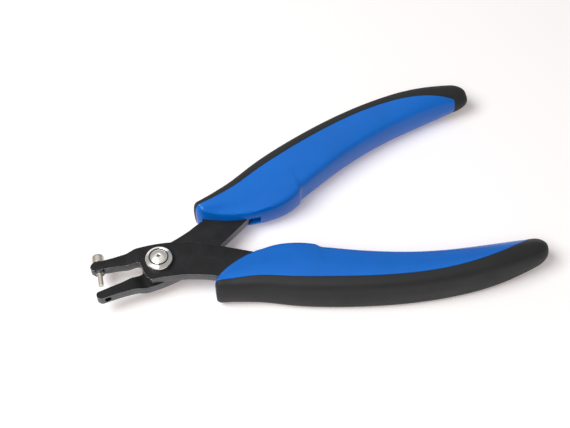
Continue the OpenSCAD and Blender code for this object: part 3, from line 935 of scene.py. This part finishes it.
class PLIERS_OT_levers(bpy.types.Operator):
    """Builds the two steel levers with their jaws and tangs"""

    bl_idname = "pliers.levers"
    bl_label = "Levers"

    def execute(self, context):
        scene = context.scene
        size, punch, pivot = scene.pliers_lever, scene.pliers_punch, scene.pliers_pivot
        lines = handle_lines(scene.pliers_handle)
        colours = scene.pliers_colours
        finishes = [black_plate(colours), worn_edge(colours), satin_side(colours)]
        reach = (size.jaw_reach - punch.inset) / MM
        seat = (size.jaw_gap / 2 + size.jaw_tip) / MM
        for name, body, bore in (("punch_lever", "punch_side", pivot.sleeve / 2 + pivot.sleeve_fit),
                                 ("die_lever", "die_side", pivot.sleeve / 2 + PRESS * MM)):
            cutters = [prism("bore", circle(bore / MM, BORE_SIDES), -10, 10)]
            if name == "punch_lever":
                cutters.append(rod("thread", (-reach, 0), punch.thread / 2 / MM + PRESS, 0, 20))
                cutters.append(rod("seat", (-reach, 0), punch.head / 2 / MM + 0.2, seat, 20))
            else:
                hole = punch.pin / 2 / MM + punch.die_clear / MM
                cutters.append(rod("die", (-reach - punch.die_shift / MM, 0), hole, -1, 20))
            longer = size.die_longer / MM if name == "die_lever" else 0.0
            mesh = cut(lever_mesh(size, lines, longer), cutters)
            mesh.materials.clear()
            for finish in finishes:
                mesh.materials.append(finish)
            for face in mesh.polygons:
                face.material_index = 2 if abs(face.normal.z) < 0.3 else 0
            mesh = bevel(mesh, size.edge, 40, 1)
            mesh.transform(on_lever(body))
            dress(name, mesh, body, finishes)
        return {"FINISHED"}


class PLIERS_OT_pivot(bpy.types.Operator):
    """Builds the flanged bush, the rivet and the washer of the pivot"""

    bl_idname = "pliers.pivot"
    bl_label = "Pivot"

    def execute(self, context):
        scene = context.scene
        size, lever = scene.pliers_pivot, scene.pliers_lever
        finish = turned_steel("bright_steel", scene.pliers_colours.bright, -PIVOT, (0, 0, 0), 0.13, 0.26)
        # Darker finish used as painted shade in the groove round the rivet head and on the rivet's flank,
        # and as a painted dark reflection in the dimple of its dome
        painted_shade = satin_side(scene.pliers_colours)
        plate, gap = lever.plate / MM, lever.lap_gap / MM
        sleeve, shank, head = size.sleeve / 2 / MM, size.rivet / 2 / MM, size.rivet_head / 2 / MM
        flange, rise = size.flange / 2 / MM, size.flange_height / MM
        base, recess = plate + gap, size.ring_gap / MM + head
        seat = base + rise - size.recess / MM
        floor = -plate - size.washer_height / MM
        shoulder, lip = flange - 0.22, recess + 0.15
        ring = through([(flange, base + rise * 0.4), (flange - 0.06, base + rise * 0.55),
                        (shoulder, base + rise * 0.68), (mix(shoulder, lip, 0.5), base + rise * 0.84),
                        (lip, base + rise)], 5)
        inside = shank + 2 * PRESS
        bush = rounded([(inside, floor + 0.5), (inside, floor), (sleeve - PRESS, floor),
                        (sleeve - PRESS, base), (flange, base), ring[0]], 0.12)
        bush += ring[1:-1] + rounded([ring[-1], (recess, base + rise - 0.08), (recess, seat),
                                      (inside, seat), (inside, floor + 0.5)], 0.12)
        top = base + rise + size.head_rise / MM
        tail = floor - size.tail_height / MM
        dome = head - size.head_slack / MM
        cap = [(dome * k / 9, top - 0.95 * (k / 9) ** 2) for k in range(9, 2, -1)]
        rivet = rounded([(0, tail), (head * 0.5, tail + 0.1), (head * 0.86, tail + 0.4),
                         (head, floor - PRESS), (shank, floor - PRESS), (shank, seat + PRESS),
                         (dome, seat + PRESS), *cap, (0.75, top - 0.12), (0.5, top - 0.22),
                         (0.25, top - 0.27), (0, top - 0.29)], 0.14)
        low, inside = -plate, sleeve + PRESS
        washer = rounded([(inside, low - 0.3), (inside, low - PRESS), (flange, low - PRESS),
                          (flange, floor + PRESS), (inside, floor + PRESS), (inside, low - 0.3)], 0.15)

        # Faces that take the painted shade: the groove's floor, the rivet's flank below the lip and the
        # dimple on the dome
        def in_groove(out, face):
            return out < recess + 0.01 and seat - 0.1 < face.center.z / MM < base + rise - 0.06

        def shade_on_groove_floor(out, face):
            return in_groove(out, face) and abs(face.normal.z) >= 0.5

        def shade_on_flank_and_dimple(out, face):
            return in_groove(out, face) or out < 0.5 and face.center.z > 0

        for name, profile, dark in (("pivot_bush", bush, shade_on_groove_floor),
                                    ("pivot_rivet", rivet, shade_on_flank_and_dimple),
                                    ("pivot_washer", washer, None)):
            mesh = turned(profile, size.steps, finish)
            if dark:
                paint_shade(mesh, painted_shade, dark)
            mesh.transform(Matrix.Translation(PIVOT))
            dress(name, mesh, "die_side", [finish], 40)
        return {"FINISHED"}


class PLIERS_OT_punch(bpy.types.Operator):
    """Builds the punch pin and the screw that holds it"""

    bl_idname = "pliers.punch"
    bl_label = "Punch"

    def execute(self, context):
        scene = context.scene
        size, lever = scene.pliers_punch, scene.pliers_lever
        reach = (lever.jaw_reach - size.inset) / MM
        jaw = lever.jaw_gap / 2 / MM
        place = Matrix.Translation((-reach * MM, 0, 0)) @ Matrix.Rotation(-math.pi / 2, 4, "X")
        upright = on_lever("punch_side") @ place
        back = upright.inverted()
        finish = turned_steel("punch_steel", scene.pliers_colours.punch, back.to_translation(),
                              back.to_euler(), 0.16, 0.3)
        pin, collar, thread = size.pin / 2 / MM, size.collar / 2 / MM, size.thread / 2 / MM
        tip, lip = jaw - size.pin_length / MM, jaw - size.collar_height / MM
        spigot = jaw + size.spigot / MM
        core = thread - PRESS
        profile = rounded([(0, tip + 0.12), (pin - 0.16, tip), (pin, tip), (pin, lip - 0.15),
                           (pin + 0.2, lip), (collar, lip), (collar, jaw - PRESS / 2),
                           (core, jaw - PRESS / 2), (core, spigot), (0, spigot)], 0.1)
        mesh = turned(profile, PUNCH_SIDES, finish)
        # The collar below the jaw is painted in the darker side finish, as painted shade round the pin's
        # root
        paint_shade(mesh, satin_side(scene.pliers_colours), lambda out, face: out > pin + 0.22)
        mesh.transform(upright)
        dress("punch_pin", mesh, "punch_side", [finish])
        seat = jaw + lever.jaw_tip / MM
        head, top = size.head / 2 / MM, seat + size.head_height / MM
        foot, end = mix(seat, top, 0.52), spigot + 0.1
        crown = through([(head, foot), (head, top - 0.9), (head * 0.95, top - 0.5),
                         (head * 0.8, top - 0.15), (head * 0.6, top)], 4)
        profile = rounded([(0, end), (core, end), (core, seat + PRESS / 2), (head, seat + PRESS / 2),
                           (head, foot)], 0.08) + crown[1:] + [(0, top)]
        mesh = turned(profile, PUNCH_SIDES, finish)
        hexagon = circle(size.socket / 2 / MM / math.cos(math.pi / 6), 6)
        mesh = cut(mesh, [prism("socket", hexagon, top - size.socket_depth / MM, top + 2)])
        mesh = bevel(mesh, 0.00009, 50)
        mesh.transform(upright)
        dress("punch_screw", mesh, "punch_side", [finish])
        return {"FINISHED"}


def two_handles(size):
    """For each handle: its name, its body, its lines and how far it is slid out, in millimetres."""
    lines = handle_lines(size)
    slide = Vector((size.slide / MM * math.cos(SLIDE_ANGLE), -size.slide / MM * math.sin(SLIDE_ANGLE)))
    return (("lower_handle", "punch_side", lines, Vector((0, 0))),
            ("upper_handle", "die_side", dict(lines, tuck=size.tuck / MM), slide))


def slid(mesh, slide):
    """A handle's mesh, slid out along its lever."""
    mesh.transform(Matrix.Translation(Vector((slide.x, slide.y, 0)) * MM))
    return mesh


def set_down(mesh, body, rise):
    """Places a handle below the lap plane, and presses its underside flat where it rests."""
    mesh.transform(Matrix.Translation((0, 0, -rise)) @ on_lever(body))
    for corner in mesh.vertices:
        corner.co.z = max(corner.co.z, 0.0)


class PLIERS_OT_handle_cores(bpy.types.Operator):
    """Builds the hard cores of the two handles, with the slots for the tangs"""

    bl_idname = "pliers.handle_cores"
    bl_label = "Handle cores"

    def execute(self, context):
        scene = context.scene
        size, lever = scene.pliers_handle, scene.pliers_lever
        finish = satin_plastic(scene.pliers_colours)
        for name, body, lines, slide in two_handles(size):
            mesh = slid(core_mesh(lines, size.seam / MM), slide)
            rise = lever.lap_rise / MM if body == "punch_side" else -lever.lap_rise / MM
            mesh = cut(mesh, tang_cutters(lever, lines, slide, rise))
            set_down(mesh, body, lever.lap_rise)
            dress(name + "_core", mesh, body, [finish])
        return {"FINISHED"}


class PLIERS_OT_handle_grips(bpy.types.Operator):
    """Builds the soft backs of the two handles"""

    bl_idname = "pliers.handle_grips"
    bl_label = "Handle grips"

    def execute(self, context):
        scene = context.scene
        size = scene.pliers_handle
        finish = soft_rubber(scene.pliers_colours)
        for name, body, lines, slide in two_handles(size):
            mesh = slid(grip_mesh(lines, size.seam / MM), slide)
            set_down(mesh, body, scene.pliers_lever.lap_rise)
            dress(name + "_grip", mesh, body, [finish])
        return {"FINISHED"}


def pale_floor(colours):
    """The floor's material: it keeps shadows, and looks lighter than it is to the camera and in mirrors."""
    material, tree, shader, mapping = new_material("pale_floor")
    wear = use_group(tree, handling_wear(), mapping, Scale=12.0, Smooth=0.75, Rough=0.85)
    blend_colours(tree, wear.outputs["Mask"], shade(colours.floor, 0.995), colours.floor, shader)
    shader.inputs["Specular IOR Level"].default_value = 0.1
    lift = add_node(tree, "ShaderNodeEmission", {"Color": (0.225, 0.19, 0.182, 1.0)})
    lifted = add_node(tree, "ShaderNodeAddShader")
    chosen = add_node(tree, "ShaderNodeMixShader")
    link(tree, (wear.outputs["Roughness"], shader.inputs["Roughness"]),
         (shader.outputs["BSDF"], lifted.inputs[0]),
         (lift.outputs["Emission"], lifted.inputs[1]),
         (seen_rays(tree), chosen.inputs["Fac"]),
         (shader.outputs["BSDF"], chosen.inputs[1]),
         (lifted.outputs["Shader"], chosen.inputs[2]),
         (chosen.outputs["Shader"], tree.nodes["Material Output"].inputs["Surface"]))
    return material


def studio_world(stage):
    """White surroundings: a weak even light on the pieces, and the backdrop that camera and mirrors see."""
    world = bpy.data.worlds.new("studio")
    world.use_nodes = True
    tree = world.node_tree
    lit = tree.nodes["Background"]
    shown = add_node(tree, "ShaderNodeBackground")
    for background in (lit, shown):
        background.inputs["Color"].default_value = (1.0, 1.0, 1.0, 1.0)
    lit.inputs["Strength"].default_value = stage.sky
    # In mirrors the backdrop is white overhead and falls off towards the horizon
    towards = add_node(tree, "ShaderNodeTexCoord")
    overhead = add_node(tree, "ShaderNodeVectorMath", operation="DOT_PRODUCT")
    overhead.inputs[1].default_value = Vector((-0.1, 0.2, 0.97)).normalized()
    fall = {"From Min": 0.55, "From Max": 0.92, "To Min": stage.horizon}
    level = add_node(tree, "ShaderNodeMapRange", fall, interpolation_type="SMOOTHSTEP")
    direct = add_node(tree, "ShaderNodeLightPath").outputs["Is Camera Ray"]
    strength = worked(tree, "ADD", level.outputs["Result"], direct, clamped=True)
    chosen = add_node(tree, "ShaderNodeMixShader")
    link(tree, (towards.outputs["Generated"], overhead.inputs[0]),
         (overhead.outputs["Value"], level.inputs["Value"]),
         (strength, shown.inputs["Strength"]),
         (seen_rays(tree), chosen.inputs["Fac"]),
         (lit.outputs["Background"], chosen.inputs[1]),
         (shown.outputs["Background"], chosen.inputs[2]),
         (chosen.outputs["Shader"], tree.nodes["World Output"].inputs["Surface"]))
    return world


def aimed(name, data, spot, aim):
    """Puts a lamp or a camera at a spot and points it at its aim."""
    item = put(name, data)
    item.location = spot
    item.rotation_euler = (aim - spot).to_track_quat("-Z", "Y").to_euler()
    return item


class PLIERS_OT_stage(bpy.types.Operator):
    """Builds the floor, the lights and the camera"""

    bl_idname = "pliers.stage"
    bl_label = "Stage"

    def execute(self, context):
        scene = context.scene
        stage, colours = scene.pliers_stage, scene.pliers_colours
        half, sunk = 1.5, -0.00005
        floor_mesh = bpy.data.meshes.new("floor")
        floor_mesh.from_pydata([(-half, -half, sunk), (half, -half, sunk), (half, half, sunk),
                                (-half, half, sunk)], [], [(0, 1, 2, 3)])
        floor_mesh.materials.append(pale_floor(colours))
        floor = put("floor", floor_mesh)
        scene.world = studio_world(stage)

        for name, spot, wide, power in (("soft_key", (-0.56, -0.05, 0.83), 0.7, stage.key),
                                        ("soft_fill", (-0.42, -0.5, 0.7), 0.3, stage.fill)):
            lamp = bpy.data.lights.new(name, "AREA")
            lamp.shape = "ELLIPSE"
            lamp.size = wide
            lamp.size_y = wide * 0.8
            lamp.energy = power
            aimed(name, lamp, Vector(spot), Vector())

        aim = Vector(stage.aim)
        level = math.cos(stage.height) * stage.distance
        spot = aim + Vector((level * math.cos(stage.turn), level * math.sin(stage.turn),
                             math.sin(stage.height) * stage.distance))
        camera = bpy.data.cameras.new("photo_camera")
        camera.sensor_fit = "HORIZONTAL"
        camera.sensor_width = 36.0
        camera.lens = stage.lens
        camera.clip_start = 0.01
        scene.camera = aimed("photo_camera", camera, spot, aim)
        scene.view_settings.view_transform = "Standard"
        return {"FINISHED"}


class PLIERS_PT_panel(bpy.types.Panel):
    """Lists the steps that build the pliers, and their sizes"""

    bl_idname = "PLIERS_PT_panel"
    bl_label = "Hole Punch Pliers"
    bl_space_type = "VIEW_3D"
    bl_region_type = "UI"
    bl_category = "Pliers"

    def draw(self, context):
        layout = self.layout
        for operator in OPERATORS:
            layout.operator(operator.bl_idname)
        for label in GROUPS:
            box = layout.box()
            box.label(text=label)
            group = getattr(context.scene, label)
            for name in group.__annotations__:
                box.prop(group, name)


GROUPS = {
    "pliers_lever": LeverSizes,
    "pliers_punch": PunchSizes,
    "pliers_pivot": PivotSizes,
    "pliers_handle": HandleSizes,
    "pliers_colours": FinishColours,
    "pliers_stage": StageSettings,
}
OPERATORS = (PLIERS_OT_levers, PLIERS_OT_pivot, PLIERS_OT_punch, PLIERS_OT_handle_cores,
             PLIERS_OT_handle_grips, PLIERS_OT_stage)


def register():
    """Registers the classes and gives the scene its settings."""
    for item in (*GROUPS.values(), *OPERATORS, PLIERS_PT_panel):
        bpy.utils.register_class(item)
    for name, group in GROUPS.items():
        setattr(bpy.types.Scene, name, PointerProperty(type=group))


def unregister():
    """Takes the settings and the classes away again."""
    for name in GROUPS:
        delattr(bpy.types.Scene, name)
    for item in (PLIERS_PT_panel, *reversed(OPERATORS), *reversed(list(GROUPS.values()))):
        bpy.utils.unregister_class(item)


def main():
    """Builds every piece and the stage."""
    register()
    bpy.ops.pliers.levers()
    bpy.ops.pliers.pivot()
    bpy.ops.pliers.punch()
    bpy.ops.pliers.handle_cores()
    bpy.ops.pliers.handle_grips()
    bpy.ops.pliers.stage()


if __name__ == "__main__":
    main()
